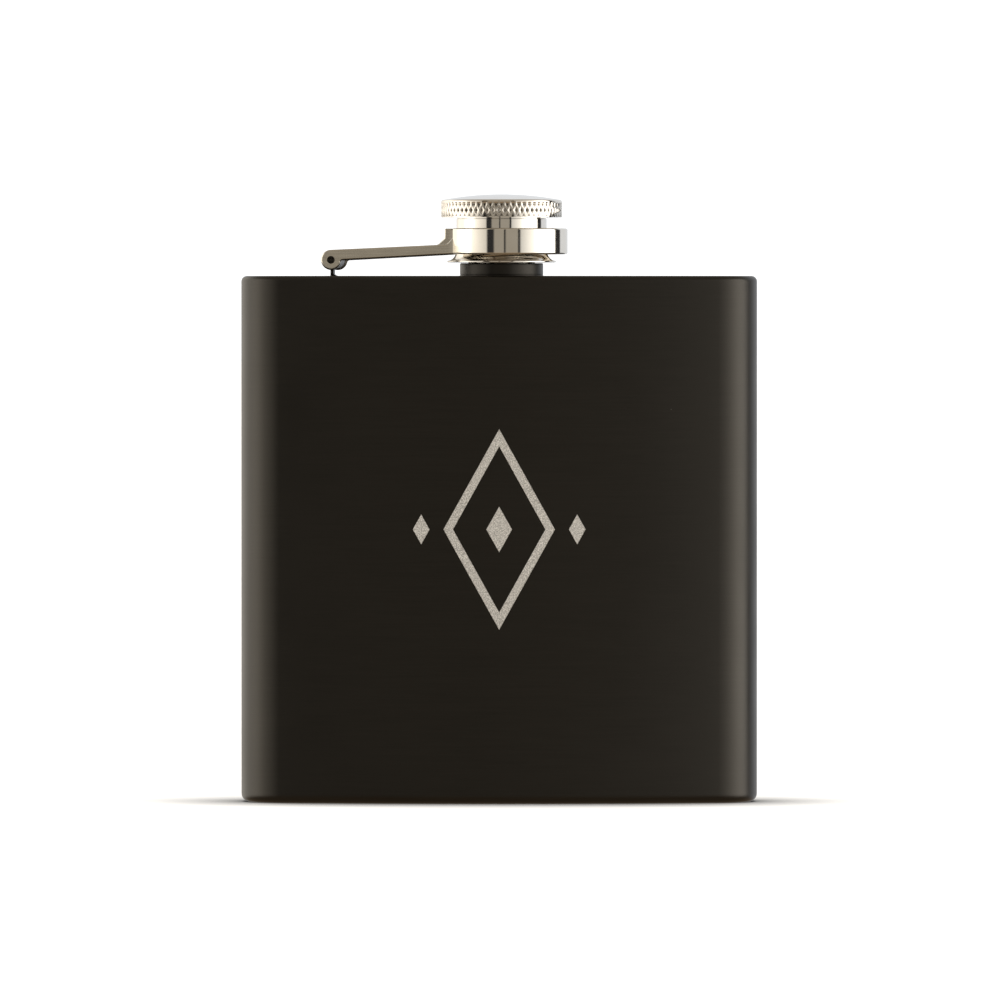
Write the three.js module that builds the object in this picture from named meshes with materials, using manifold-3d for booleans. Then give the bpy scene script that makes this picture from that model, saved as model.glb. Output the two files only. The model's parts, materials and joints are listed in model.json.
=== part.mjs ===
// Hip flask with a captive screw cap, in millimetres, +Z up, its front facing -Y.
// The origin is on the ground under the middle of the whole object's box.
import * as THREE from "three";
import { mergeVertices } from "three/addons/utils/BufferGeometryUtils.js";
import Module from "manifold-3d";

const wasm = await Module();
wasm.setup();

// Body: a can of kidney section, bent so that its back fits a hip
const bodyWidth = 93;
const bodyThickness = 22.4; // front face to back face, square to the bend
const bodyHeight = 94.8;
const bendRadius = 150; // of the surface halfway through the body
const cornerRadius = 9.4; // of the four upright corners
const rimRadius = 1; // of the edges round the top and the bottom
const sheet = 0.6; // steel sheet of the wall and both plates
const plateSkirt = 1.8; // height of each plate's turned rim, where the wall is welded on

// Neck: a spout in a collar on the top plate, on the cap's axis
const neckShift = 0.43; // of the cap's axis to the right of the body's middle
const neckRadius = 6;
const neckWall = 0.8;
const neckLip = 0.35; // rounding of the mouth
const neckDrop = 1.52; // of the mouth below the underside of the cap's head
const footOverhang = 1.2; // of the flange under the top plate
const footThickness = 0.7;
const collarWall = 1.45;
const collarHeight = 2.3;
const collarRound = 0.25;
const weldGap = 0.05; // between pieces that are welded or glued to each other

// Thread
const threadPitch = 1;
const threadHeight = 0.5; // of the spout's ridge
const threadFoot = 0.7; // width of a ridge at its foot
const threadCrest = 0.25;
const neckThreadTurns = 3.5;
const neckThreadStart = 1.5; // height of the lowest ridge above the collar
const linerThreadHeight = 0.2;
const linerThreadTurns = 2;

// Cap: a domed head, a shank that turns in the strap's ring, and a flare that holds it there
const linerPlay = 0.74; // round the spout's thread, so that the cap can swing off
const linerWall = 0.45;
const linerMouth = 0.88; // height of the liner's mouth above the flare's rim
const linerTop = 0.6; // thickness of the liner's closed end
const shankWall = 0.4;
const flareSpread = 1.72; // of the flare past the shank
const flareHeight = 1.75;
const flareRim = 0.3;
const flareGap = 0.12; // above the collar
const headOverhang = 2.76; // of the head past the shank
const headSide = 2.65;
const headDome = 1.53;
const headRound = 0.55;
const headWall = 1;
const flangeThickness = 0.8;
const sealPlay = 0.34; // between the seal's edge and the liner
const sealThickness = 1.1;
const sealGap = 0.05;

// Strap: one strip bent into a ring round the shank and two legs that end in the hinge's eyes
const strapThickness = 1;
const strapHeight = 4.7;
const ringPlay = 1.74; // between the shank and the ring
const ringShift = 1.03; // of the ring's centre past the cap's axis
const ringLift = 1.45; // height of the ring above the flare's rim
const ringDrop = 1.95; // of the ring below the head
const legSpread = 11.4; // across the outer faces of the two legs
const legRootHeight = 1.77;
const legEndHeight = 2;
const shoulderDrop = 1.75; // straight part of the shoulder's edge
const farShoulderReach = 2.63; // of the rear leg's shoulder past the front leg's
const eyeRadius = 1.82;
const eyeGap = 1.06; // between the eyes and the top plate

// Hinge: a pin in a barrel on a post
const hingeReach = 30.3; // from the cap's axis to the pin
const pinRadius = 0.65;
const pinClearance = 0.05;
const pinRecess = 0.25; // of the pin's ends in the eyes
const barrelRadius = 1.5;
const barrelSideGap = 0.25; // between the barrel and each leg
const postThickness = 0.6;
const postWidth = 2.4;
const postShift = 0.3; // of the post past the pin, away from the cap

// Fineness
const roundSegments = 40;
const smallSegments = 24;
const arcSegments = 6;
const edgeSegments = 2;

// Heights above the ground that several pieces share
const top = bodyHeight;
const collarTop = top + collarHeight;
const flareLow = collarTop + flareGap;
const strapLow = flareLow + ringLift;
const strapTop = strapLow + strapHeight;
const headBottom = strapTop + ringDrop;
const neckTop = headBottom - neckDrop;
const linerLow = flareLow + linerMouth;
const sealLow = neckTop + sealGap;
const linerCeiling = sealLow + sealThickness + sealGap;
const pinHeight = top + eyeRadius + eyeGap;

// Radii that nest in each other, from the spout outwards
const threadRadius = neckRadius + threadHeight;
const linerBore = threadRadius + linerPlay;
const linerRadius = linerBore + linerWall;
const shankBore = linerRadius + weldGap;
const shankRadius = shankBore + shankWall;
const flareRadius = shankRadius + flareSpread;
const headRadius = shankRadius + headOverhang;
const ringBore = shankRadius + ringPlay;
const ringRadius = ringBore + strapThickness;
const legOuter = legSpread / 2;
const legRoot = Math.sqrt(ringRadius ** 2 - legOuter ** 2); // from the ring's centre to the legs' foot

const coat = { color: 0x1d1b19, roughness: 0.5, metalness: 0.2 };
const steel = { color: 0xd8d0c4, roughness: 0.15, metalness: 1 };
const brushed = { color: 0xb4ad9f, roughness: 0.35, metalness: 1 };
const silicone = { color: 0xe6e4dd, roughness: 0.6, metalness: 0 };

const flask = new THREE.Group();

// The neck and the cap share an axis, and the hinge is placed from it.
const onNeck = new THREE.Group();
onNeck.position.x = neckShift;
flask.add(onNeck);

function addPiece(name, geometry, finish, group = flask) {
  const piece = new THREE.Mesh(geometry, new THREE.MeshStandardMaterial(finish));
  piece.name = name;
  group.add(piece);
}

// A closed geometry as a solid that can be joined and cut.
function solid(geometry) {
  const bare = geometry.clone();
  bare.deleteAttribute("normal");
  bare.deleteAttribute("uv");
  const merged = mergeVertices(bare, 1e-4);
  return new wasm.Manifold(
    new wasm.Mesh({
      numProp: 3,
      vertProperties: new Float32Array(merged.attributes.position.array),
      triVerts: new Uint32Array(merged.index.array),
    }),
  );
}

function geometryOf(body) {
  const { vertProperties, triVerts } = body.getMesh();
  const geometry = new THREE.BufferGeometry();
  geometry.setAttribute("position", new THREE.BufferAttribute(vertProperties, 3));
  geometry.setIndex(new THREE.BufferAttribute(triVerts, 1));
  geometry.computeVertexNormals();
  return geometry;
}

// A closed profile of [radius, height] points, turned about the Z axis.
function turned(profile, segments = roundSegments) {
  const points = profile.map(([radius, height]) => new THREE.Vector2(radius, height));
  if (THREE.ShapeUtils.area(points) < 0) points.reverse();
  points.push(points[0].clone());
  return new THREE.LatheGeometry(points, segments).rotateX(Math.PI / 2);
}

// A round corner of a profile: points from one angle to the other, in degrees.
function corner(radius, height, round, from, to) {
  return Array.from({ length: edgeSegments + 1 }, (_, i) => {
    const angle = THREE.MathUtils.degToRad(from + ((to - from) * i) / edgeSegments);
    return [radius + round * Math.cos(angle), height + round * Math.sin(angle)];
  });
}

// A box between two corners.
function block(low, high) {
  const size = high.map((value, axis) => value - low[axis]);
  const middle = high.map((value, axis) => (value + low[axis]) / 2);
  return solid(new THREE.BoxGeometry(...size).translate(...middle));
}

// A helical ridge round the Z axis, from its foot radius to its crest radius.
function helix(foot, crest, low, turns) {
  const steps = Math.round(turns * roundSegments);
  const outline = [
    [foot, -threadFoot / 2],
    [crest, -threadCrest / 2],
    [crest, threadCrest / 2],
    [foot, threadFoot / 2],
  ];
  if (crest < foot) outline.reverse();
  const positions = [];
  for (let i = 0; i <= steps; i++) {
    const angle = (2 * Math.PI * i) / roundSegments;
    const rise = low + (threadPitch * i) / roundSegments;
    for (const [radius, offset] of outline)
      positions.push(radius * Math.cos(angle), radius * Math.sin(angle), rise + offset);
  }
  const sides = outline.length;
  const last = steps * sides;
  const faces = [0, 2, 1, 0, 3, 2, last, last + 1, last + 2, last, last + 2, last + 3];
  for (let i = 0; i < steps; i++)
    for (let j = 0; j < sides; j++) {
      const a = i * sides + j;
      const b = i * sides + ((j + 1) % sides);
      faces.push(a, b, b + sides, a, b + sides, a + sides);
    }
  faces.reverse();
  const geometry = new THREE.BufferGeometry();
  geometry.setAttribute("position", new THREE.Float32BufferAttribute(positions, 3));
  geometry.setIndex(faces);
  return solid(geometry);
}

// The body's section, drawn in by an inset. The middle of the bend passes through the cap's axis.
function kidney(inset) {
  const halfWidth = bodyWidth / 2 - inset;
  const front = bendRadius + bodyThickness / 2 - inset;
  const back = bendRadius - bodyThickness / 2 + inset;
  const round = cornerRadius - inset;
  const across = halfWidth - round;
  const frontCorner = bendRadius - Math.sqrt((front - round) ** 2 - across ** 2);
  const backCorner = bendRadius - Math.sqrt((back + round) ** 2 - across ** 2);
  const frontTurn = Math.asin(across / (front - round));
  const backTurn = Math.asin(across / (back + round));
  const quarter = Math.PI / 2;
  const shape = new THREE.Shape();
  shape.absarc(0, bendRadius, front, -quarter - frontTurn, -quarter + frontTurn);
  shape.absarc(across, frontCorner, round, frontTurn - quarter, 0);
  shape.absarc(across, backCorner, round, 0, quarter + backTurn);
  shape.absarc(0, bendRadius, back, -quarter + backTurn, -quarter - backTurn, true);
  shape.absarc(-across, backCorner, round, quarter - backTurn, 2 * quarter);
  shape.absarc(-across, frontCorner, round, 2 * quarter, 3 * quarter - frontTurn);
  return shape;
}

// A closed can of the body's section with rounded rims.
function can(inset) {
  const round = Math.max(rimRadius - inset, sheet / 4);
  const options = {
    depth: bodyHeight - 2 * inset - 2 * round,
    bevelThickness: round,
    bevelSize: round,
    bevelOffset: -round,
    bevelSegments: edgeSegments,
    curveSegments: arcSegments,
  };
  const geometry = new THREE.ExtrudeGeometry(kidney(inset), options);
  return solid(geometry.translate(0, 0, inset + round));
}

function buildBody() {
  const shell = can(0).subtract(can(sheet));
  const reach = bodyWidth;
  const slab = (low, high) => block([-reach, -reach, low], [reach, reach, high]);
  const hole = new THREE.CylinderGeometry(1, 1, 4 * sheet, roundSegments)
    .rotateX(Math.PI / 2)
    .scale(neckRadius + weldGap, neckRadius + weldGap, 1)
    .translate(neckShift, 0, top);
  const wall = shell.intersect(slab(plateSkirt, top - plateSkirt));
  const lid = shell.intersect(slab(top - plateSkirt, 2 * top)).subtract(solid(hole));
  const floor = shell.intersect(slab(-reach, plateSkirt));
  addPiece("body_wall", geometryOf(wall), coat);
  addPiece("top_plate", geometryOf(lid), coat);
  addPiece("bottom_plate", geometryOf(floor), coat);
}

function buildNeck() {
  const collarBore = neckRadius + weldGap;
  const collarRadius = collarBore + collarWall;
  const collar = turned([
    [collarBore, top],
    [collarRadius, top],
    ...corner(collarRadius - collarRound, collarTop - collarRound, collarRound, 0, 90),
    [collarBore, collarTop],
  ]);
  addPiece("neck_collar", collar, coat, onNeck);

  const footTop = top - sheet - weldGap;
  const footRadius = neckRadius + footOverhang;
  const neckBore = neckRadius - neckWall;
  const spout = turned([
    [neckBore, footTop - footThickness],
    [footRadius, footTop - footThickness],
    [footRadius, footTop],
    [neckRadius, footTop],
    ...corner(neckRadius - neckLip, neckTop - neckLip, neckLip, 0, 90),
    [neckBore, neckTop],
  ]);
  const sunk = neckRadius - neckLip;
  const ridge = helix(sunk, threadRadius, collarTop + neckThreadStart, neckThreadTurns);
  addPiece("neck_tube", geometryOf(solid(spout).add(ridge)), steel, onNeck);
}

function buildCap() {
  const sideTop = headBottom + headSide;
  const rise = headDome - headRound;
  const flat = headRadius - headRound;
  const dome = (share, down = 0) => [flat * share, sideTop + headRound + rise * (1 - share ** 2) - down];
  const skin = headWall - headRound / 2;
  const shares = [0.75, 0.5, 0.25];
  const inner = (headRadius - headWall) / flat;
  const head = turned([
    [headRadius - headWall, headBottom],
    [headRadius, headBottom],
    ...corner(flat, sideTop, headRound, 0, 90),
    ...shares.map((share) => dome(share)),
    dome(0),
    dome(0, skin),
    ...shares.toReversed().map((share) => dome(share, skin)),
    dome(inner, headWall),
  ]);
  addPiece("cap_shell", head, steel, onNeck);

  const flange = headBottom + flangeThickness;
  const core = turned([
    [shankBore, flareLow + flareHeight],
    [shankBore + flareSpread * 0.45, flareLow + flareHeight * 0.45],
    [flareRadius - shankWall, flareLow + 0.05],
    [flareRadius - 0.12, flareLow],
    [flareRadius, flareLow + 0.12],
    [flareRadius, flareLow + flareRim],
    [flareRadius - flareSpread * 0.23, flareLow + flareHeight * 0.26],
    [flareRadius - flareSpread * 0.53, flareLow + flareHeight * 0.365],
    [flareRadius - flareSpread * 0.73, flareLow + flareHeight * 0.56],
    [flareRadius - flareSpread * 0.9, flareLow + flareHeight * 0.8],
    [shankRadius, flareLow + flareHeight * 1.1],
    [shankRadius, headBottom],
    [headRadius - headWall - weldGap, headBottom],
    [headRadius - headWall - weldGap, flange],
    [shankBore, flange],
  ]);
  addPiece("cap_core", core, steel, onNeck);

  const cup = turned([
    [linerBore, linerLow],
    [linerRadius, linerLow],
    [linerRadius, linerCeiling + linerTop],
    [0, linerCeiling + linerTop],
    [0, linerCeiling],
    [linerBore, linerCeiling],
  ]);
  const crest = linerBore - linerThreadHeight;
  const ridge = helix(linerBore + linerWall / 2, crest, linerLow + threadPitch, linerThreadTurns);
  addPiece("cap_insert", geometryOf(solid(cup).add(ridge)), brushed, onNeck);

  const sealRadius = linerBore - sealPlay;
  const disc = turned([
    [0, sealLow],
    [sealRadius, sealLow],
    [sealRadius, sealLow + sealThickness],
    [0, sealLow + sealThickness],
  ]);
  addPiece("cap_seal", disc, silicone, onNeck);
}

// Everything below lies in the hinge's own group: its X axis runs from the pin to the cap's axis.
const hinge = new THREE.Group();
hinge.rotation.z = -Math.asin(hingeReach / (2 * bendRadius)); // the hinge follows the bent body
onNeck.add(hinge);

// A round bar along the hinge's axis, centred on the pin.
function hingeBar(radius, length, segments = smallSegments) {
  const bar = new THREE.CylinderGeometry(radius, radius, length, segments);
  return bar.translate(-hingeReach, 0, pinHeight);
}

// The strap's outline seen from the front, with its shoulder at a distance from the ring's centre.
function strapSide(shoulder) {
  const edge = ringShift - shoulder;
  const legTop = strapLow + legRootHeight;
  const slant = strapHeight - shoulderDrop - legRootHeight;
  const eyeTop = pinHeight + eyeRadius;
  const end = ringShift + ringRadius + strapThickness;
  const outline = new THREE.Shape();
  outline.moveTo(end, strapTop);
  outline.lineTo(edge, strapTop);
  outline.lineTo(edge, strapTop - shoulderDrop);
  outline.lineTo(edge - slant, legTop);
  outline.lineTo(-hingeReach, eyeTop);
  outline.lineTo(-hingeReach, eyeTop - legEndHeight);
  outline.lineTo(ringShift - legRoot, strapLow);
  outline.lineTo(end, strapLow);
  const band = new THREE.ExtrudeGeometry(outline, { depth: 2 * legSpread, bevelEnabled: false });
  band.rotateX(Math.PI / 2).translate(0, legSpread, 0);
  return solid(band).add(solid(hingeBar(eyeRadius, 2 * legSpread, roundSegments)));
}

function buildStrap() {
  const low = pinHeight - eyeRadius;
  const ring = turned([
    [ringBore, low],
    [ringRadius, low],
    [ringRadius, strapTop],
    [ringBore, strapTop],
  ]).translate(ringShift, 0, 0);
  const legInner = legOuter - strapThickness;
  const foot = ringShift - legRoot + strapThickness / 2;
  const end = -hingeReach - eyeRadius;
  const legs = block([end, -legOuter, low], [foot, legOuter, strapTop]);
  const slot = block([2 * end, -legInner, low - 1], [ringShift, legInner, strapTop + 1]);
  const plan = solid(ring).add(legs).subtract(slot);
  const frontHalf = block([2 * end, -2 * ringRadius, 0], [-end, 0, 2 * top]);
  const front = plan.intersect(frontHalf).intersect(strapSide(legRoot));
  const rear = plan.subtract(frontHalf).intersect(strapSide(legRoot + farShoulderReach));
  const bore = solid(hingeBar(pinRadius + pinClearance, 2 * legSpread));
  addPiece("cap_strap", geometryOf(front.add(rear).subtract(bore)), brushed, hinge);
}

function buildHinge() {
  const barrelLength = legSpread - 2 * strapThickness - 2 * barrelSideGap;
  const x = -hingeReach;
  const behind = x - postShift - postThickness / 2;
  const ahead = x - postShift + postThickness / 2;
  const post = block([behind, -postWidth / 2, top], [ahead, postWidth / 2, pinHeight]);
  const barrel = solid(hingeBar(barrelRadius, barrelLength)).add(post);
  const bore = solid(hingeBar(pinRadius + pinClearance, legSpread));
  addPiece("hinge_lug", geometryOf(barrel.subtract(bore)), coat, hinge);
  addPiece("hinge_pin", hingeBar(pinRadius, legSpread - 2 * pinRecess), coat, hinge);
}

buildBody();
buildNeck();
buildCap();
buildStrap();
buildHinge();

// The whole object moves so that its box is centred on the origin.
flask.updateMatrixWorld(true);
const box = new THREE.Box3().setFromObject(flask, true);
flask.position.y = -(box.min.y + box.max.y) / 2;

export default flask;
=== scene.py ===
"""A hip flask: a bent can with a matt black coat and a knurled screw cap on a hinged strap."""

import json
import math

import bpy
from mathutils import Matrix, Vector


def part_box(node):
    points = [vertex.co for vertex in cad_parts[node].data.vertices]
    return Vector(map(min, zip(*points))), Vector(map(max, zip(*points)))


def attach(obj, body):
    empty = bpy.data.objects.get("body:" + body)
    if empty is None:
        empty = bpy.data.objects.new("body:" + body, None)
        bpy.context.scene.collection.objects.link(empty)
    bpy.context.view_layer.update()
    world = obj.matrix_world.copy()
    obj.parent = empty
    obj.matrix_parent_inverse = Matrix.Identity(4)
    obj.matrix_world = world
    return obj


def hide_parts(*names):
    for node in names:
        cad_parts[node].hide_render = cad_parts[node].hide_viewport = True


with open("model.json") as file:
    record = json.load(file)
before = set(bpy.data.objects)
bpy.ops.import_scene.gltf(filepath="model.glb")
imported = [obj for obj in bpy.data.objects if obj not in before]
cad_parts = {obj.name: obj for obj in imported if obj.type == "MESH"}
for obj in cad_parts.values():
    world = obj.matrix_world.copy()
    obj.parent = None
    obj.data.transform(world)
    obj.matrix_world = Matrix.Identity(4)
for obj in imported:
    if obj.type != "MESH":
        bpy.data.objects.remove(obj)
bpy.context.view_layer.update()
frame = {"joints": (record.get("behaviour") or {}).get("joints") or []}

# Lengths are in millimetres until a piece is finished.
MM = 0.001


def millimetres(node):
    """The lowest and highest corner of a part of the frame."""
    low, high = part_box(node)
    return low / MM, high / MM


shell_low, shell_high = millimetres("cap_shell")
collar_low, collar_high = millimetres("neck_collar")
plate_low, plate_high = millimetres("top_plate")
floor_low, floor_high = millimetres("bottom_plate")
wall_low, wall_high = millimetres("body_wall")
tube_low, tube_high = millimetres("neck_tube")
core_low, core_high = millimetres("cap_core")
insert_low, insert_high = millimetres("cap_insert")
seal_low, seal_high = millimetres("cap_seal")
strap_low, strap_high = millimetres("cap_strap")
swing = next(joint for joint in frame["joints"] if joint["name"] == "strap_swing")

# The cap's axis and the hinge, which is turned to follow the bent body
axis = (shell_low + shell_high) / 2
pin = Vector(swing["pos_m"]) / MM
hinge_reach = math.hypot(pin.x - axis.x, pin.y - axis.y)
hinge_turn = math.atan2(axis.y - pin.y, axis.x - pin.x)

# Body
TOP = plate_high.z
BEND_RADIUS = 150
THICKNESS = 22.4
CORNER_RADIUS = 9.4
RIM_RADIUS = 1
BASE_RIM_RADIUS = 1.5
SHEET = 0.6
ENGRAVING_DEPTH = 0.05

# Neck
NECK_RADIUS = 6
NECK_BORE = 5.2
COLLAR_BORE = 6.05
THREAD_PITCH = 1

# Strap
STRAP_THICKNESS = 1
RING_RADIUS = 10.88
RING_SHIFT = 1.03  # of the ring's centre past the cap's axis
LEG_OUTER = 5.7  # from the middle of the strap to each leg's outer face
LEG_ROOT_HEIGHT = 1.77
LEG_END_HEIGHT = 2
SHOULDER_DROP = 1.75
FAR_SHOULDER_REACH = 2.63
RING_LOW = 98.67
EYE_RADIUS = 1.82
EYE_BORE = 0.7
POST_SHIFT = 0.3  # of the post past the pin, away from the cap


# ---------------------------------------------------------------- tools


def only(piece):
    """Leaves nothing but the piece selected, in object mode."""
    if bpy.context.mode != "OBJECT":
        bpy.ops.object.mode_set(mode="OBJECT")
    bpy.ops.object.select_all(action="DESELECT")
    piece.select_set(True)
    bpy.context.view_layer.objects.active = piece


def arc(centre, radius, start, end, steps):
    """Points of a round stretch, from one angle to the other in degrees."""
    angles = [math.radians(start + (end - start) * i / steps) for i in range(steps + 1)]
    return [(centre[0] + radius * math.cos(a), centre[1] + radius * math.sin(a)) for a in angles]


def draw(name, points):
    """A new mesh with edges from point to point. It is left in edit mode, all selected."""
    bpy.ops.object.select_all(action="DESELECT")
    bpy.ops.mesh.primitive_plane_add(size=1, location=(0, 0, 0))
    piece = bpy.context.object
    piece.name = piece.data.name = name
    bpy.ops.object.mode_set(mode="EDIT")
    bpy.ops.mesh.select_mode(type="VERT")
    bpy.ops.mesh.select_all(action="SELECT")
    bpy.ops.mesh.merge(type="CENTER")
    bpy.ops.transform.translate(value=points[0])
    for before, after in zip(points, points[1:]):
        step = Vector(after) - Vector(before)
        bpy.ops.mesh.extrude_vertices_move(TRANSFORM_OT_translate={"value": step})
    bpy.ops.mesh.select_all(action="SELECT")
    bpy.ops.mesh.remove_doubles(threshold=1e-4)
    return piece


def clean(piece):
    """Welds what touches and turns every face outwards."""
    only(piece)
    bpy.ops.object.mode_set(mode="EDIT")
    bpy.ops.mesh.select_mode(type="VERT")
    bpy.ops.mesh.select_all(action="SELECT")
    bpy.ops.mesh.remove_doubles(threshold=1e-4)
    bpy.ops.mesh.normals_make_consistent(inside=False)
    bpy.ops.object.mode_set(mode="OBJECT")
    return piece


def turned(name, profile, steps=96):
    """A profile of (radius, height) points turned about the Z axis.

    It closes itself, unless it ends on the axis.
    """
    points = [(radius, 0, height) for radius, height in profile]
    if profile[-1][0] > 0:
        points.append(points[0])
    piece = draw(name, points)
    bpy.ops.mesh.spin(steps=steps, angle=2 * math.pi, center=(0, 0, 0), axis=(0, 0, 1))
    return clean(piece)


def extruded(name, outline, direction):
    """A closed outline, pushed along a direction into a solid."""
    piece = draw(name, [*outline, outline[0]])
    bpy.ops.mesh.edge_face_add()
    bpy.ops.mesh.extrude_region_move(TRANSFORM_OT_translate={"value": direction})
    return clean(piece)


def pick(piece, kind, test):
    """Goes into edit mode with only those vertices, edges or faces selected that pass the test."""
    only(piece)
    bpy.ops.object.mode_set(mode="EDIT")
    bpy.ops.mesh.select_mode(type=kind)
    bpy.ops.mesh.select_all(action="DESELECT")
    bpy.ops.object.mode_set(mode="OBJECT")
    mesh = piece.data
    items = {"VERT": mesh.vertices, "EDGE": mesh.edges, "FACE": mesh.polygons}[kind]
    for item in items:
        item.select = test(item)
    bpy.ops.object.mode_set(mode="EDIT")


def ends(piece, edge):
    """The places of an edge's two ends."""
    return [piece.data.vertices[i].co for i in edge.vertices]


def modify(piece, kind, **settings):
    """Adds a modifier and applies it."""
    only(piece)
    modifier = piece.modifiers.new(kind, kind)
    for key, value in settings.items():
        setattr(modifier, key, value)
    bpy.ops.object.modifier_apply(modifier=modifier.name)
    return piece


def combine(piece, other, operation):
    """Joins (UNION), cuts (DIFFERENCE) or trims (INTERSECT) a solid with another, which is used up."""
    modify(piece, "BOOLEAN", operation=operation, object=other, solver="EXACT")
    bpy.data.objects.remove(other, do_unlink=True)
    return piece


def copied(piece, name):
    """A copy of a piece, with its own mesh."""
    twin = piece.copy()
    twin.data = piece.data.copy()
    twin.name = twin.data.name = name
    bpy.context.scene.collection.objects.link(twin)
    return twin


def cylinder(name, radius, depth, place, vertices=96, turn=(0, 0, 0)):
    """A round bar, as something to cut with."""
    bpy.ops.object.select_all(action="DESELECT")
    bpy.ops.mesh.primitive_cylinder_add(
        vertices=vertices, radius=radius, depth=depth, location=place, rotation=turn
    )
    piece = bpy.context.object
    piece.name = piece.data.name = name
    only(piece)
    bpy.ops.object.transform_apply(location=True, rotation=True, scale=True)
    return piece


def block(name, low, high):
    """A box between two corners, as something to cut with or to shape further."""
    bpy.ops.object.select_all(action="DESELECT")
    bpy.ops.mesh.primitive_cube_add(size=1, location=(Vector(low) + Vector(high)) / 2)
    piece = bpy.context.object
    piece.name = piece.data.name = name
    piece.scale = Vector(high) - Vector(low)
    bpy.ops.object.transform_apply(location=True, rotation=True, scale=True)
    return piece


def finish_piece(piece, body, nodes, finish=None, place=(0, 0, 0), turn=0, smooth=30):
    """Brings a piece to its place and size in metres, gives it its finish, and ties it to the frame."""
    piece.location = Vector(place) * MM
    piece.rotation_euler = (0, 0, turn)
    piece.scale = (MM, MM, MM)
    only(piece)
    bpy.ops.object.transform_apply(location=True, rotation=True, scale=True)
    bpy.ops.object.shade_smooth_by_angle(angle=math.radians(smooth))
    modify(piece, "WEIGHTED_NORMAL", keep_sharp=True)
    if finish:
        piece.data.materials.append(finish)
    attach(piece, body)
    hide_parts(*nodes)
    return piece


# ---------------------------------------------------------------- finishes


def start_material(name, **values):
    """A new material, its node tree and its shader, with plain values set on the shader."""
    material = bpy.data.materials.new(name)
    material.use_nodes = True
    shader = material.node_tree.nodes["Principled BSDF"]
    for socket, value in values.items():
        shader.inputs[socket.replace("_", " ")].default_value = value
    return material, material.node_tree, shader


def grain(tree, scale, detail=3.0, roughness=0.5):
    """Noise on the piece's own place, with its own scale along X, Y and Z, per metre."""
    nodes, links = tree.nodes, tree.links
    mapping = nodes.new("ShaderNodeMapping")
    mapping.inputs["Scale"].default_value = scale
    noise = nodes.new("ShaderNodeTexNoise")
    noise.inputs["Scale"].default_value = 1
    noise.inputs["Detail"].default_value = detail
    noise.inputs["Roughness"].default_value = roughness
    links.new(object_place(tree), mapping.inputs["Vector"])
    links.new(mapping.outputs["Vector"], noise.inputs["Vector"])
    return noise.outputs["Fac"]


def remap(tree, source, low, high, start=0.3, end=0.7):
    """A value stretched from a part of its range to another range."""
    node = tree.nodes.new("ShaderNodeMapRange")
    node.inputs["From Min"].default_value = start
    node.inputs["From Max"].default_value = end
    node.inputs["To Min"].default_value = low
    node.inputs["To Max"].default_value = high
    tree.links.new(source, node.inputs["Value"])
    return node.outputs["Result"]


def object_place(tree):
    """Each point's own place on its piece, in metres."""
    return tree.nodes.new("ShaderNodeTexCoord").outputs["Object"]


def tint(tree, source, dark, light):
    """A colour between two, by a value from 0 to 1."""
    node = tree.nodes.new("ShaderNodeMix")
    node.data_type = "RGBA"
    node.inputs["A"].default_value = (*dark, 1)
    node.inputs["B"].default_value = (*light, 1)
    tree.links.new(source, node.inputs["Factor"])
    return node.outputs["Result"]


def emboss(tree, shader, source, depth):
    """Relief of a given depth in metres."""
    node = tree.nodes.new("ShaderNodeBump")
    node.inputs["Strength"].default_value = 1
    node.inputs["Distance"].default_value = depth
    tree.links.new(source, node.inputs["Height"])
    tree.links.new(node.outputs["Normal"], shader.inputs["Normal"])


def black_coat():
    """A thin matt coat over sideways brushed steel, with a little dust."""
    material, tree, shader = start_material(
        "black_coat", Specular_IOR_Level=0.46, Specular_Tint=(1, 0.93, 0.83, 1)
    )
    brushing = grain(tree, (110, 110, 7000), detail=4)
    clouds = grain(tree, (60, 60, 60), detail=5)
    coat = tint(tree, remap(tree, brushing, 0, 1), (0.0012, 0.001, 0.0008), (0.0042, 0.0036, 0.0028))
    specks = tree.nodes.new("ShaderNodeTexVoronoi")
    specks.inputs["Scale"].default_value = 130
    tree.links.new(object_place(tree), specks.inputs["Vector"])
    dust = remap(tree, specks.outputs["Distance"], 0.35, 0, start=0.006, end=0.016)
    dusty = tree.nodes.new("ShaderNodeMix")
    dusty.data_type = "RGBA"
    dusty.inputs["B"].default_value = (0.2, 0.19, 0.17, 1)
    tree.links.new(coat, dusty.inputs["A"])
    tree.links.new(dust, dusty.inputs["Factor"])
    tree.links.new(dusty.outputs["Result"], shader.inputs["Base Color"])
    tree.links.new(remap(tree, clouds, 0.32, 0.38), shader.inputs["Roughness"])
    emboss(tree, shader, brushing, 0.000004)
    return material


def polished_steel():
    """Turned and polished stainless steel: fine rings that hardly show."""
    material, tree, shader = start_material("polished_steel", Metallic=1.0)
    rings = grain(tree, (40, 40, 9000), detail=2)
    smears = grain(tree, (260, 260, 260), detail=4)
    colour = tint(tree, remap(tree, smears, 0, 1), (0.76, 0.725, 0.67), (0.83, 0.8, 0.75))
    tree.links.new(colour, shader.inputs["Base Color"])
    tree.links.new(remap(tree, smears, 0.045, 0.1), shader.inputs["Roughness"])
    emboss(tree, shader, rings, 0.0000015)
    return material


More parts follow.
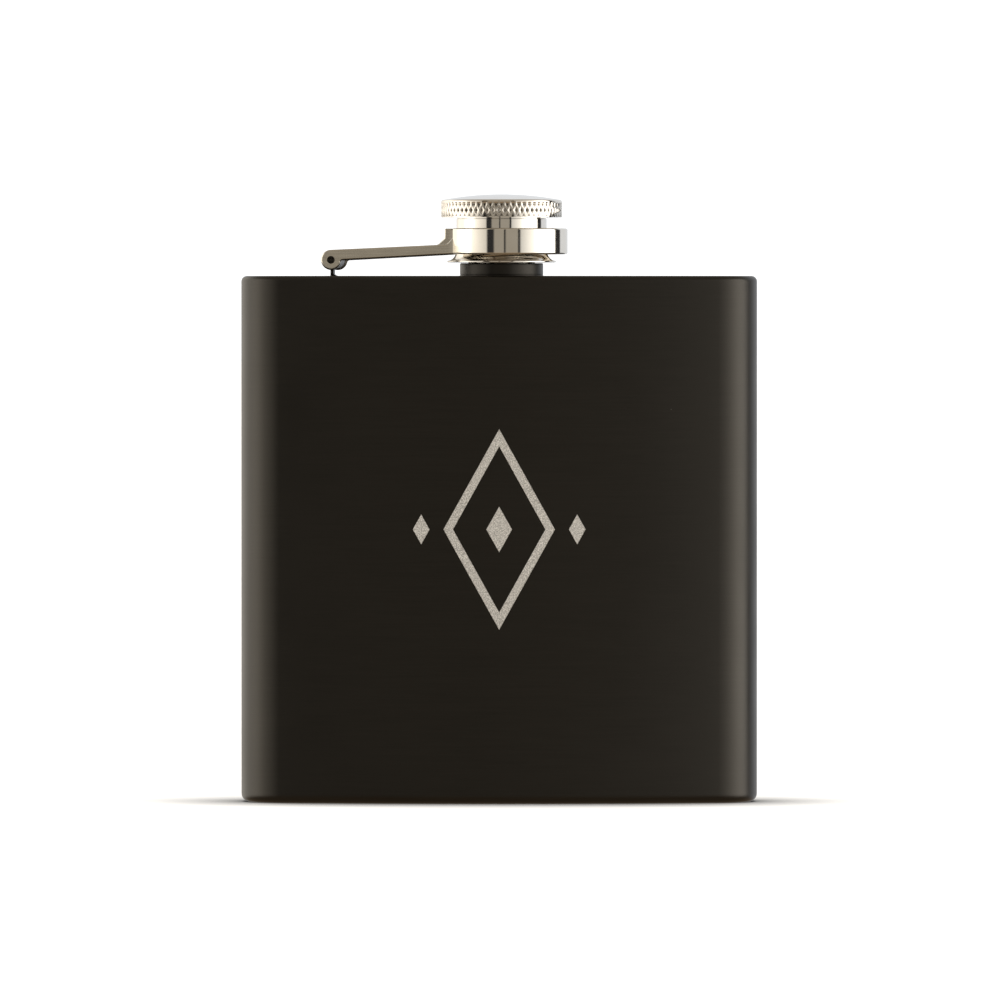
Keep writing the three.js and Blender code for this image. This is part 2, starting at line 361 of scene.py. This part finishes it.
def knurled_steel():
    """Polished steel whose pits, nearer to the cap's axis than its crests, are darkened with painted
    shade.
    """
    material, tree, shader = start_material("knurled_steel", Metallic=1.0)
    nodes, links = tree.nodes, tree.links
    from_axis = nodes.new("ShaderNodeVectorMath")
    from_axis.operation = "SUBTRACT"
    links.new(object_place(tree), from_axis.inputs[0])
    from_axis.inputs[1].default_value = (axis.x * MM, axis.y * MM, 0)
    level = nodes.new("ShaderNodeVectorMath")
    level.operation = "MULTIPLY"
    links.new(from_axis.outputs["Vector"], level.inputs[0])
    level.inputs[1].default_value = (1, 1, 0)
    radius = nodes.new("ShaderNodeVectorMath")
    radius.operation = "LENGTH"
    links.new(level.outputs["Vector"], radius.inputs[0])
    crest = (shell_high.x - shell_low.x) / 2
    # The colour darkens from the crests down into the pits: painted shade in the knurl's hollows.
    shaded_pit, bright = (crest - 0.26) * MM, (crest - 0.08) * MM
    height = remap(tree, radius.outputs["Value"], 0, 1, start=shaded_pit, end=bright)
    colour = tint(tree, height, (0.07, 0.055, 0.04), (0.8, 0.76, 0.7))
    links.new(colour, shader.inputs["Base Color"])
    links.new(remap(tree, grain(tree, (300, 300, 300)), 0.16, 0.26), shader.inputs["Roughness"])
    return material


def strap_steel():
    """Strip steel: polished round the ring, and with a grain along the legs."""
    material, tree, shader = start_material("strap_steel", Metallic=1.0)
    nodes, links = tree.nodes, tree.links
    strokes = grain(tree, (160, 160, 8000), detail=4, roughness=0.6)
    smears = grain(tree, (200, 200, 200), detail=4)
    split = nodes.new("ShaderNodeSeparateXYZ")
    links.new(object_place(tree), split.inputs[0])
    legs_end, ring_start = -0.0092, -0.008
    ring = remap(tree, split.outputs["X"], 0, 1, start=legs_end, end=ring_start)
    brushed = tint(tree, remap(tree, strokes, 0, 1), (0.56, 0.525, 0.46), (0.76, 0.72, 0.64))
    polish = tint(tree, remap(tree, smears, 0, 1), (0.76, 0.72, 0.65), (0.82, 0.79, 0.73))
    colour = nodes.new("ShaderNodeMix")
    colour.data_type = "RGBA"
    links.new(ring, colour.inputs["Factor"])
    links.new(brushed, colour.inputs["A"])
    links.new(polish, colour.inputs["B"])
    links.new(colour.outputs["Result"], shader.inputs["Base Color"])
    rough = nodes.new("ShaderNodeMix")
    links.new(ring, rough.inputs["Factor"])
    links.new(remap(tree, smears, 0.16, 0.24), rough.inputs["A"])
    links.new(remap(tree, smears, 0.05, 0.09), rough.inputs["B"])
    links.new(rough.outputs["Result"], shader.inputs["Roughness"])
    depth = nodes.new("ShaderNodeMath")
    depth.operation = "MULTIPLY"
    links.new(strokes, depth.inputs[0])
    links.new(remap(tree, ring, 1, 0.12, start=0, end=1), depth.inputs[1])
    emboss(tree, shader, depth.outputs[0], 0.000004)
    return material


def plain_steel():
    """Turned steel that stays inside, duller than the outside."""
    material, tree, shader = start_material("plain_steel", Metallic=1.0)
    rings = grain(tree, (60, 60, 5000), detail=3)
    smears = grain(tree, (300, 300, 300), detail=4)
    colour = tint(tree, remap(tree, rings, 0, 1), (0.56, 0.54, 0.5), (0.72, 0.7, 0.66))
    tree.links.new(colour, shader.inputs["Base Color"])
    tree.links.new(remap(tree, smears, 0.22, 0.34), shader.inputs["Roughness"])
    emboss(tree, shader, rings, 0.000004)
    return material


def engraved_steel():
    """Bare steel where the coat is burnt away in fine dots."""
    material, tree, shader = start_material("engraved_steel", Metallic=0.55)
    dots = grain(tree, (5200, 5200, 5200), detail=2)
    patches = grain(tree, (500, 500, 900), detail=3)
    colour = tint(tree, remap(tree, dots, 0, 1, 0.35, 0.65), (0.4, 0.385, 0.36), (0.86, 0.84, 0.8))
    tree.links.new(colour, shader.inputs["Base Color"])
    tree.links.new(remap(tree, patches, 0.5, 0.65), shader.inputs["Roughness"])
    emboss(tree, shader, dots, 0.00002)
    return material


def silicone():
    """A soft, slightly cloudy white disc."""
    material, tree, shader = start_material(
        "silicone", Subsurface_Weight=0.2, Subsurface_Scale=0.001, Specular_IOR_Level=0.4
    )
    clouds = grain(tree, (900, 900, 900), detail=4)
    colour = tint(tree, remap(tree, clouds, 0, 1), (0.7, 0.68, 0.64), (0.82, 0.81, 0.78))
    tree.links.new(colour, shader.inputs["Base Color"])
    tree.links.new(remap(tree, clouds, 0.5, 0.62), shader.inputs["Roughness"])
    emboss(tree, shader, clouds, 0.00001)
    return material


COAT = black_coat()
POLISHED = polished_steel()
KNURLED = knurled_steel()
STRAP = strap_steel()
PLAIN = plain_steel()
ENGRAVED = engraved_steel()
SILICONE = silicone()


# ---------------------------------------------------------------- body


def kidney(inset):
    """The body's section, drawn in by an inset. The middle of the bend passes through the cap's axis."""
    half_width = wall_high.x - inset
    bend = axis.y + BEND_RADIUS
    front = BEND_RADIUS + THICKNESS / 2 - inset
    back = BEND_RADIUS - THICKNESS / 2 + inset
    corner = CORNER_RADIUS - inset
    across = half_width - corner
    front_corner = bend - math.sqrt((front - corner) ** 2 - across**2)
    back_corner = bend - math.sqrt((back + corner) ** 2 - across**2)
    front_turn = math.degrees(math.asin(across / (front - corner)))
    back_turn = math.degrees(math.asin(across / (back + corner)))
    return [
        *arc((0, bend), front, -90 - front_turn, -90 + front_turn, 36),
        *arc((across, front_corner), corner, front_turn - 90, 0, 12),
        *arc((across, back_corner), corner, 0, 90 + back_turn, 14),
        *arc((0, bend), back, -90 + back_turn, -90 - back_turn, 36),
        *arc((-across, back_corner), corner, 90 - back_turn, 180, 14),
        *arc((-across, front_corner), corner, 180, 270 - front_turn, 12),
    ]


def can(name, inset, low, high):
    """A solid of the body's section between two heights."""
    return extruded(name, [(x, y, low) for x, y in kidney(inset)], (0, 0, high - low))


def slice_of(piece, name, low, high):
    """A band of a closed can between two heights, as sheet metal."""
    band = copied(piece, name)
    for height, normal in ((low, -1), (high, 1)):
        if height is None:
            continue
        only(band)
        bpy.ops.object.mode_set(mode="EDIT")
        bpy.ops.mesh.select_all(action="SELECT")
        bpy.ops.mesh.bisect(plane_co=(0, 0, height), plane_no=(0, 0, normal), clear_outer=True)
        bpy.ops.object.mode_set(mode="OBJECT")
    return modify(band, "SOLIDIFY", thickness=SHEET, offset=-1, use_even_offset=True)


def mark():
    """The engraved mark: a lozenge in a lozenge frame, between two small ones.

    These are solids that start in front of the flask and reach through its front.
    """
    middle = 49.3
    half_width, half_height, stroke = 10, 18, 1.5
    pip_place = 14
    front, behind = 2 * wall_low.y, (0, -1.6 * wall_low.y, 0)

    def lozenge(name, across, up, centre=0):
        corners = [(across, 0), (0, up), (-across, 0), (0, -up)]
        return extruded(name, [(centre + x, front, middle + z) for x, z in corners], behind)

    slope = math.hypot(half_width, half_height) * stroke / (half_width * half_height)
    outer = lozenge("mark", half_width, half_height)
    inner = lozenge("inner", half_width * (1 - slope), half_height * (1 - slope))
    combine(outer, inner, "DIFFERENCE")
    parts = [outer, lozenge("heart", 2.3, 4.1)]
    for centre in (-pip_place, pip_place):
        parts.append(lozenge("pip", 1.5, 2.7, centre))
    bpy.ops.object.select_all(action="DESELECT")
    for part in parts:
        part.select_set(True)
    bpy.context.view_layer.objects.active = outer
    bpy.ops.object.join()
    return outer


def build_body():
    """The wall, top and base, cut from one closed can."""
    whole = can("can", 0, 0, TOP)
    for height, rim in ((0, BASE_RIM_RADIUS), (TOP, RIM_RADIUS)):
        pick(whole, "EDGE", lambda edge: all(abs(end.z - height) < 1e-3 for end in ends(whole, edge)))
        bpy.ops.mesh.bevel(offset=rim, segments=6, affect="EDGES", clamp_overlap=False)
        bpy.ops.object.mode_set(mode="OBJECT")

    wall = slice_of(whole, "flask_wall", wall_low.z, wall_high.z)
    cutter = combine(mark(), can("core", ENGRAVING_DEPTH, 1, TOP - 1), "DIFFERENCE")
    # The cut faces keep the cutter's finish
    for piece in (wall, cutter):
        piece.data.materials.append(COAT)
        piece.data.materials.append(ENGRAVED)
    for face in cutter.data.polygons:
        face.material_index = 1
    combine(wall, cutter, "DIFFERENCE")

    lid = slice_of(whole, "flask_top", plate_low.z, None)
    bore = cylinder("bore", COLLAR_BORE, 4, (axis.x, axis.y, TOP))
    combine(lid, bore, "DIFFERENCE")
    base = slice_of(whole, "flask_base", None, floor_high.z)
    bpy.data.objects.remove(whole, do_unlink=True)

    finish_piece(wall, "flask", ["body_wall"])
    finish_piece(lid, "flask", ["top_plate"], COAT)
    finish_piece(base, "flask", ["bottom_plate"], COAT)


# ---------------------------------------------------------------- neck

def thread(foot, crest, low, turns):
    """A ridge wound round the Z axis as a right-hand thread, from its foot radius to its crest radius."""
    half_foot, half_crest, steps = 0.35, 0.125, 64
    outline = [
        (foot, 0, low - half_foot),
        (crest, 0, low - half_crest),
        (crest, 0, low + half_crest),
        (foot, 0, low + half_foot),
    ]
    ridge = draw("ridge", [*outline, outline[0]])
    bpy.ops.object.mode_set(mode="OBJECT")
    count = round(steps * turns)
    modify(
        ridge, "SCREW", steps=count, render_steps=count, angle=2 * math.pi * turns,
        screw_offset=THREAD_PITCH * turns, use_merge_vertices=False,
    )
    bpy.ops.object.mode_set(mode="EDIT")
    bpy.ops.mesh.select_all(action="SELECT")
    bpy.ops.mesh.fill_holes(sides=len(outline))
    return clean(ridge)


def build_neck():
    """The collar and the threaded spout."""
    on_axis = (axis.x, axis.y, 0)
    edge, bead = 0.25, 0.12
    radius = (collar_high.x - collar_low.x) / 2
    collar = turned(
        "neck_ring",
        [
            (COLLAR_BORE, collar_low.z),
            (radius, collar_low.z),
            (radius, collar_low.z + bead),
            (radius - bead / 2, collar_low.z + bead * 1.5),
            (radius - bead / 2, collar_low.z + bead * 2),
            (radius, collar_low.z + bead * 2.5),
            *arc((radius - edge, collar_high.z - edge), edge, 0, 90, 5),
            *arc((COLLAR_BORE + 0.1, collar_high.z - 0.1), 0.1, 90, 180, 3),
        ],
    )
    finish_piece(collar, "flask", ["neck_collar"], COAT, place=on_axis)

    lip, flange, flange_height, undercut = 0.35, 7.2, 0.7, 0.1
    ridge, turns = 0.5, 3.5
    low = collar_high.z
    spout = turned(
        "spout",
        [
            (NECK_BORE, tube_low.z),
            (flange, tube_low.z),
            (flange, tube_low.z + flange_height),
            (NECK_RADIUS, tube_low.z + flange_height),
            (NECK_RADIUS, low + 0.4),
            (NECK_RADIUS - undercut, low + 0.55),
            (NECK_RADIUS - undercut, low + 0.85),
            (NECK_RADIUS, low + 1),
            *arc((NECK_RADIUS - lip, tube_high.z - lip), lip, 0, 90, 5),
            *arc((NECK_BORE + 0.15, tube_high.z - 0.15), 0.15, 90, 180, 3),
        ],
    )
    combine(spout, thread(NECK_RADIUS - 0.3, NECK_RADIUS + ridge, low + 1.5, turns), "UNION")
    finish_piece(spout, "flask", ["neck_tube"], PLAIN, place=on_axis)


# ---------------------------------------------------------------- cap

KNURL_COLUMNS = 132
KNURL_ROWS = 3
KNURL_DEPTH = 0.3
KNURL_CREST = 0.15
SHANK_RADIUS = 8.14
SHANK_BORE = 7.74


def knurled_head():
    """The domed head. Its side carries crossed ridges with a four-sided pit between each four."""
    low, side, corner = shell_low.z, 2.8, 0.4
    radius = (shell_high.x - shell_low.x) / 2
    flat = radius - corner
    crown = low + side + corner
    rise = shell_high.z - crown
    wall = 1
    pitch, chamfer = 1, 0.1
    first = low + 0.27

    def dome(share, down=0.0):
        return (flat * share, crown + rise * (1 - share**2) - down)

    inner = radius - wall
    head = turned(
        "cap_head",
        [
            *[dome(i / 6 * inner / flat, wall) for i in range(7)],
            (inner, low),
            (radius - chamfer, low),
            *[(radius, first + pitch * row) for row in range(KNURL_ROWS)],
            *arc((flat, low + side), corner, 0, 90, 6),
            *[dome(1 - i / 10) for i in range(1, 11)],
        ],
        steps=KNURL_COLUMNS,
    )

    def on_side(point):
        return abs(math.hypot(point.x, point.y) - radius) < 0.01

    def in_pit(vertex):
        column = round(math.atan2(vertex.co.y, vertex.co.x) / (2 * math.pi) * KNURL_COLUMNS)
        row = round((vertex.co.z - first) / pitch)
        return on_side(vertex.co) and 0 <= row < KNURL_ROWS and (column + row) % 2 == 1

    corners = head.data.vertices
    pick(head, "FACE", lambda face: all(on_side(corners[i].co) for i in face.vertices))
    head.data.materials.append(POLISHED)
    head.data.materials.append(KNURLED)
    head.active_material_index = 1
    bpy.ops.object.material_slot_assign()
    bpy.ops.object.mode_set(mode="OBJECT")
    band = [face.index for face in head.data.polygons if face.select]
    pick(head, "VERT", in_pit)
    share = 1 - KNURL_DEPTH / radius
    bpy.ops.transform.resize(value=(share, share, 1), center_override=(0, 0, 0))
    pick(head, "FACE", lambda face: face.index in band)
    bpy.ops.mesh.quads_convert_to_tris(quad_method="LONGEST_DIAGONAL", ngon_method="BEAUTY")
    pick(head, "EDGE", lambda edge: all(on_side(point) for point in ends(head, edge)))
    bpy.ops.mesh.bevel(offset=KNURL_CREST, segments=2, affect="EDGES", clamp_overlap=True)
    return clean(head)


def build_cap():
    """The head, the flared shank, the threaded liner and the washer."""
    on_axis = (axis.x, axis.y, 0)
    finish_piece(knurled_head(), "cap", ["cap_shell"], place=on_axis, smooth=50)

    low = core_low.z
    flare = (core_high.x - core_low.x) / 2
    flange = flare - 0.01  # inside the head
    head = shell_low.z
    rim, run, reach = 0.3, 1.625, flare - SHANK_RADIUS
    groove = 0.12  # under the head
    steps = 10

    def sweep(share):
        """The flare's curve from its rim (0) up to the shank (1)."""
        foot, bend, end = Vector((reach, 0)), Vector((0.35, 0.12)), Vector((0, run))
        point = foot * (1 - share) ** 2 + bend * 2 * share * (1 - share) + end * share**2
        return (SHANK_RADIUS + point.x, low + rim + point.y)

    core = turned(
        "cap_shank",
        [
            (SHANK_BORE, low + 1.75),
            (SHANK_BORE + 0.3, low + 1.3),
            (SHANK_BORE + 0.8, low + 0.8),
            (flare - 0.4, low + 0.08),
            *arc((flare - 0.1, low + 0.1), 0.1, -90, 0, 3),
            *arc((flare - 0.1, low + rim - 0.1), 0.1, 0, 70, 3),
            *[sweep(i / steps) for i in range(1, steps + 1)],
            (SHANK_RADIUS, head - 0.3),
            (SHANK_RADIUS - groove, head - 0.22),
            (SHANK_RADIUS - groove, head),
            (flange, head),
            (flange, core_high.z),
            (SHANK_BORE, core_high.z),
        ],
    )
    finish_piece(core, "cap", ["cap_core"], POLISHED, place=on_axis)

    bore, crest = 7.24, 0.2
    wall = (insert_high.x - insert_low.x) / 2
    ceiling = insert_high.z - 0.6
    liner = turned(
        "cap_liner",
        [
            (0, ceiling),
            (bore, ceiling),
            (bore, insert_low.z + 0.15),
            *arc((bore + 0.15, insert_low.z + 0.15), 0.15, 180, 270, 3),
            *arc((wall - 0.12, insert_low.z + 0.12), 0.12, -90, 0, 3),
            (wall, insert_high.z),
            (0, insert_high.z),
        ],
    )
    combine(liner, thread(bore + 0.22, bore - crest, insert_low.z + THREAD_PITCH, 2), "UNION")
    finish_piece(liner, "cap", ["cap_insert"], PLAIN, place=on_axis)

    edge, bead, dish = (seal_high.x - seal_low.x) / 2, 5.6, 0.15
    seal = turned(
        "cap_washer",
        [
            (0, seal_low.z + dish),
            (bead - 0.9, seal_low.z + dish),
            *arc((bead, seal_low.z + 0.6), 0.6, 230, 310, 8),
            (edge - 0.35, seal_low.z + dish),
            *arc((edge - 0.2, seal_low.z + dish + 0.2), 0.2, -90, 0, 4),
            *arc((edge - 0.15, seal_high.z - 0.15), 0.15, 0, 90, 4),
            (0, seal_high.z),
        ],
    )
    finish_piece(seal, "seal", ["cap_seal"], SILICONE, place=on_axis)


# ---------------------------------------------------------------- strap and hinge
# These are drawn with the cap's axis at the origin and the pin at a distance along -X.


def strap_profile(name, shoulder, behind, depth):
    """The strap as it is seen from the front, as a solid of a given depth from y = behind."""
    top = strap_high.z
    edge = RING_SHIFT - shoulder
    leg_top = RING_LOW + LEG_ROOT_HEIGHT
    slant = top - RING_LOW - SHOULDER_DROP - LEG_ROOT_HEIGHT
    end = RING_SHIFT + RING_RADIUS + 1
    root = RING_SHIFT - math.sqrt(RING_RADIUS**2 - LEG_OUTER**2)
    # The leg's lower edge, and the small round where it runs into the eye
    from_eye = pin.z + EYE_RADIUS - LEG_END_HEIGHT
    tilt = math.atan2(RING_LOW - from_eye, root + hinge_reach)
    notch = 0.4
    drop = (from_eye - pin.z) * math.cos(tilt) - notch
    along = math.sqrt((EYE_RADIUS + notch) ** 2 - drop**2)
    centre = (
        -hinge_reach + along * math.cos(tilt) - drop * math.sin(tilt),
        pin.z + along * math.sin(tilt) + drop * math.cos(tilt),
    )
    meeting = math.degrees(math.atan2(centre[1] - pin.z, centre[0] + hinge_reach))
    outline = [
        (end, top),
        (edge, top),
        (edge, top - SHOULDER_DROP),
        (edge - slant, leg_top),
        *arc((-hinge_reach, pin.z), EYE_RADIUS, 90, 360 + meeting, 40),
        *arc(centre, notch, 180 + meeting, 90 + math.degrees(tilt), 6),
        (root, RING_LOW),
        (end, RING_LOW),
    ]
    return extruded(name, [(x, behind, z) for x, z in outline], (0, depth, 0))


def build_strap():
    """The ring and both legs, cut from a tube and a block, with rounded edges."""
    reach = 2 * RING_RADIUS
    low, high = strap_low.z - 1, strap_high.z + 1
    inner = RING_RADIUS - STRAP_THICKNESS
    section = [(inner, low), (RING_RADIUS, low), (RING_RADIUS, high), (inner, high)]
    ring = turned("strap", section, steps=128)
    ring.location.x = RING_SHIFT
    only(ring)
    bpy.ops.object.transform_apply(location=True, rotation=True, scale=True)
    root = RING_SHIFT - math.sqrt(RING_RADIUS**2 - LEG_OUTER**2)
    inside = LEG_OUTER - STRAP_THICKNESS
    end = -hinge_reach - EYE_RADIUS - 1
    legs = block("legs", (end, -LEG_OUTER, low), (root + STRAP_THICKNESS / 2, LEG_OUTER, high))
    slot = block("slot", (2 * end, -inside, low - 1), (RING_SHIFT, inside, high + 1))
    combine(ring, legs, "UNION")
    combine(ring, slot, "DIFFERENCE")
    shoulder = RING_SHIFT - root
    side = strap_profile("front", shoulder, -reach, reach)
    combine(side, strap_profile("rear", shoulder + FAR_SHOULDER_REACH, 0, reach), "UNION")
    combine(ring, side, "INTERSECT")
    clean(ring)

    far_edge = RING_SHIFT - shoulder - FAR_SHOULDER_REACH
    only(ring)
    bpy.ops.object.mode_set(mode="EDIT")
    bpy.ops.mesh.select_mode(type="EDGE")
    bpy.ops.mesh.select_all(action="DESELECT")
    bpy.ops.mesh.edges_select_sharp(sharpness=math.radians(35))
    bpy.ops.object.mode_set(mode="OBJECT")
    sharp = {edge.index for edge in ring.data.edges if edge.select}

    def rounded(edge):
        a, b = ends(ring, edge)
        upright = math.hypot(a.x - b.x, a.y - b.y) < 1e-3
        return edge.index in sharp and (not upright or a.x < far_edge + 0.1)

    pick(ring, "EDGE", rounded)
    bpy.ops.mesh.bevel(offset=0.33, segments=4, affect="EDGES", clamp_overlap=False)
    bpy.ops.object.mode_set(mode="OBJECT")
    bore = cylinder("bore", EYE_BORE, 40, (-hinge_reach, 0, pin.z), 48, turn=(math.pi / 2, 0, 0))
    combine(ring, bore, "DIFFERENCE")
    place = (axis.x, axis.y, 0)
    finish_piece(
        ring, "strap", ["cap_strap"], STRAP, place=place, turn=hinge_turn, smooth=28
    )


def along_pin(name, profile):
    """A turned piece that lies along the hinge pin."""
    piece = turned(name, profile, steps=48)
    piece.rotation_euler = (math.pi / 2, 0, 0)
    piece.location = (-hinge_reach, 0, pin.z)
    only(piece)
    bpy.ops.object.transform_apply(location=True, rotation=True, scale=True)
    return piece


def build_hinge():
    """The barrel on its post, and the rod through it."""
    side_gap = 0.25
    half = LEG_OUTER - STRAP_THICKNESS - side_gap
    radius, edge = 1.5, 0.2
    barrel = along_pin(
        "hinge_barrel",
        [
            (EYE_BORE, -half),
            *arc((radius - edge, -half + edge), edge, -90, 0, 4),
            *arc((radius - edge, half - edge), edge, 0, 90, 4),
            (EYE_BORE, half),
        ],
    )
    across, along, foot = 0.3, 1.2, 0.35
    middle = -hinge_reach - POST_SHIFT
    post = block("post", (middle - across, -along, TOP + foot), (middle + across, along, pin.z - 1))
    pick(post, "FACE", lambda face: face.normal.z < -0.9)
    for down, share in ((0.15, 1.15), (0.12, 1.35), (0.08, 1.4)):
        bpy.ops.mesh.extrude_region_move(TRANSFORM_OT_translate={"value": (0, 0, -down)})
        wider = (share, 1 + (share - 1) / 4, 1)
        bpy.ops.transform.resize(value=wider, center_override=(middle - across, 0, TOP))
    bpy.ops.object.mode_set(mode="OBJECT")
    modify(post, "BEVEL", width=0.1, segments=3, limit_method="ANGLE", angle_limit=math.radians(50))
    combine(barrel, clean(post), "UNION")
    place = (axis.x, axis.y, 0)
    finish_piece(barrel, "flask", ["hinge_lug"], COAT, place=place, turn=hinge_turn)

    half, radius, edge, dimple = LEG_OUTER - side_gap, 0.65, 0.08, 0.3
    one_end = [
        (0, half - 0.2),
        (dimple, half - 0.14),
        (dimple + 0.1, half),
        (radius - edge, half),
        (radius, half - edge),
    ]
    rod = along_pin("hinge_rod", [(r, -z) for r, z in one_end] + list(reversed(one_end)))
    finish_piece(rod, "flask", ["hinge_pin"], COAT, place=place, turn=hinge_turn)


# ---------------------------------------------------------------- studio


def build_floor():
    """A wide pale floor that glows a little, with a painted soft shadow close to what stands on it."""
    bpy.ops.object.select_all(action="DESELECT")
    bpy.ops.mesh.primitive_plane_add(size=40, location=(0, 0, 0))
    floor = bpy.context.object
    floor.name = "floor"
    material, tree, shader = start_material("pale_floor", Roughness=0.9, Specular_IOR_Level=0.1)
    # Ambient occlusion darkens the floor's colour and its glow near what stands on it: a painted contact
    # shadow.
    openness = tree.nodes.new("ShaderNodeAmbientOcclusion")
    openness.inputs["Distance"].default_value = 0.02
    shade = tree.nodes.new("ShaderNodeMath")
    shade.operation = "POWER"
    tree.links.new(openness.outputs["AO"], shade.inputs[0])
    shade.inputs[1].default_value = 2.2
    white = tint(tree, shade.outputs[0], (0.02, 0.02, 0.02), (0.86, 0.86, 0.86))
    tree.links.new(white, shader.inputs["Base Color"])
    tree.links.new(white, shader.inputs["Emission Color"])
    shader.inputs["Emission Strength"].default_value = 0.75
    floor.data.materials.append(material)
    floor.visible_glossy = False


SKY_STRENGTH = 3


def build_sky():
    """A dim room in front, a bright soft light on each side, a dim ceiling, and a white backdrop."""
    world = bpy.data.worlds.new("studio")
    bpy.context.scene.world = world
    world.use_nodes = True
    nodes, links = world.node_tree.nodes, world.node_tree.links
    background = nodes["Background"]
    background.inputs["Strength"].default_value = SKY_STRENGTH
    place = nodes.new("ShaderNodeTexCoord")
    split = nodes.new("ShaderNodeSeparateXYZ")
    links.new(place.outputs["Generated"], split.inputs[0])
    front = nodes.new("ShaderNodeMath")
    front.operation = "MULTIPLY"
    front.inputs[1].default_value = -1
    links.new(split.outputs["Y"], front.inputs[0])
    bearing = nodes.new("ShaderNodeMath")
    bearing.operation = "ARCTAN2"
    links.new(split.outputs["X"], bearing.inputs[0])
    links.new(front.outputs[0], bearing.inputs[1])
    turn = nodes.new("ShaderNodeMapRange")
    turn.inputs["From Min"].default_value = -math.pi
    turn.inputs["From Max"].default_value = math.pi
    links.new(bearing.outputs[0], turn.inputs["Value"])

    # Bearings in degrees from straight in front, positive to the right, with the light's colour
    left, right = Vector((1, 0.94, 0.84)), Vector((1, 0.96, 0.89))
    room, dark = Vector((0.38, 0.345, 0.29)), Vector((0.03, 0.03, 0.03))
    grey = Vector((0.8, 0.82, 0.85))
    bands = [
        *((-180, grey), (-172, grey)),
        *((-160, left), (-135, left * 1.5), (-115, left * 1.5), (-95, left * 2.4), (-80, left * 2.3)),
        *((-70, left * 1.4), (-56, left * 1.08), (-41, left * 0.8)),
        *((-38, dark), (-27, dark), (-24, room), (-7, room)),
        *((-6, dark), (-3.5, dark), (-2.5, room), (20, room), (21, dark), (24, dark)),
        *((26, right * 0.75), (36, right), (50, right * 1.4), (65, right * 2.4)),
        *((80, right * 3.4), (103, right * 3)),
        *((105, dark), (120, dark), (123, grey), (180, grey)),
    ]
    ramp = nodes.new("ShaderNodeValToRGB")
    stops = ramp.color_ramp.elements
    while len(stops) < len(bands):
        stops.new(0.5)
    for stop, (degrees, colour) in zip(stops, bands):
        stop.position = (degrees + 180) / 360
        stop.color = (*(value / SKY_STRENGTH for value in colour), 1)
    links.new(turn.outputs["Result"], ramp.inputs["Fac"])

    # Above and below the lights it is dim: the level of the lights by height, from -1 to 1
    height = nodes.new("ShaderNodeMapRange")
    height.inputs["From Min"].default_value = -1
    links.new(split.outputs["Z"], height.inputs["Value"])
    levels = nodes.new("ShaderNodeValToRGB")
    marks = [(-1, 0), (-0.4, 0), (-0.25, 1), (0.5, 1), (0.65, 0), (1, 0)]
    while len(levels.color_ramp.elements) < len(marks):
        levels.color_ramp.elements.new(0.5)
    for stop, (at, value) in zip(levels.color_ramp.elements, marks):
        stop.position = (at + 1) / 2
        stop.color = (value, value, value, 1)
    links.new(height.outputs["Result"], levels.inputs["Fac"])
    upward = nodes.new("ShaderNodeMapRange")
    upward.inputs["From Min"].default_value = -0.2
    upward.inputs["From Max"].default_value = 0.2
    links.new(split.outputs["Z"], upward.inputs["Value"])
    below = Vector((0.3, 0.22, 0.14)) / SKY_STRENGTH
    above = Vector((0.4, 0.35, 0.28)) / SKY_STRENGTH
    dim = nodes.new("ShaderNodeMix")
    dim.data_type = "RGBA"
    dim.inputs["A"].default_value = (*below, 1)
    dim.inputs["B"].default_value = (*above, 1)
    links.new(upward.outputs["Result"], dim.inputs["Factor"])
    studio = nodes.new("ShaderNodeMix")
    studio.data_type = "RGBA"
    links.new(dim.outputs["Result"], studio.inputs["A"])
    links.new(levels.outputs["Color"], studio.inputs["Factor"])
    links.new(ramp.outputs["Color"], studio.inputs["B"])

    # The backdrop itself is plain white
    seen = nodes.new("ShaderNodeLightPath")
    backdrop = nodes.new("ShaderNodeMix")
    backdrop.data_type = "RGBA"
    backdrop.inputs["B"].default_value = (0.4, 0.4, 0.4, 1)
    links.new(seen.outputs["Is Camera Ray"], backdrop.inputs["Factor"])
    links.new(studio.outputs["Result"], backdrop.inputs["A"])
    links.new(backdrop.outputs["Result"], background.inputs["Color"])


def build_camera():
    """A long lens, far away and a little above the flask's middle."""
    sensor, distance, span = 36, 2.5, 0.18033
    elevation = math.radians(0.8)
    aim = Vector((0.000144, 0, 0.0544))
    camera = bpy.data.cameras.new("camera")
    camera.sensor_width = sensor
    camera.lens = sensor * distance / span
    camera.clip_end = 100
    view = bpy.data.objects.new("camera", camera)
    away = Vector((0, -math.cos(elevation), math.sin(elevation)))
    view.location = aim + away * distance
    view.rotation_euler = (-away).to_track_quat("-Z", "Y").to_euler()
    bpy.context.scene.collection.objects.link(view)
    bpy.context.scene.camera = view


build_body()
build_neck()
build_cap()
build_strap()
build_hinge()
build_floor()
build_sky()
build_camera()
bpy.context.scene.view_settings.view_transform = "Standard"
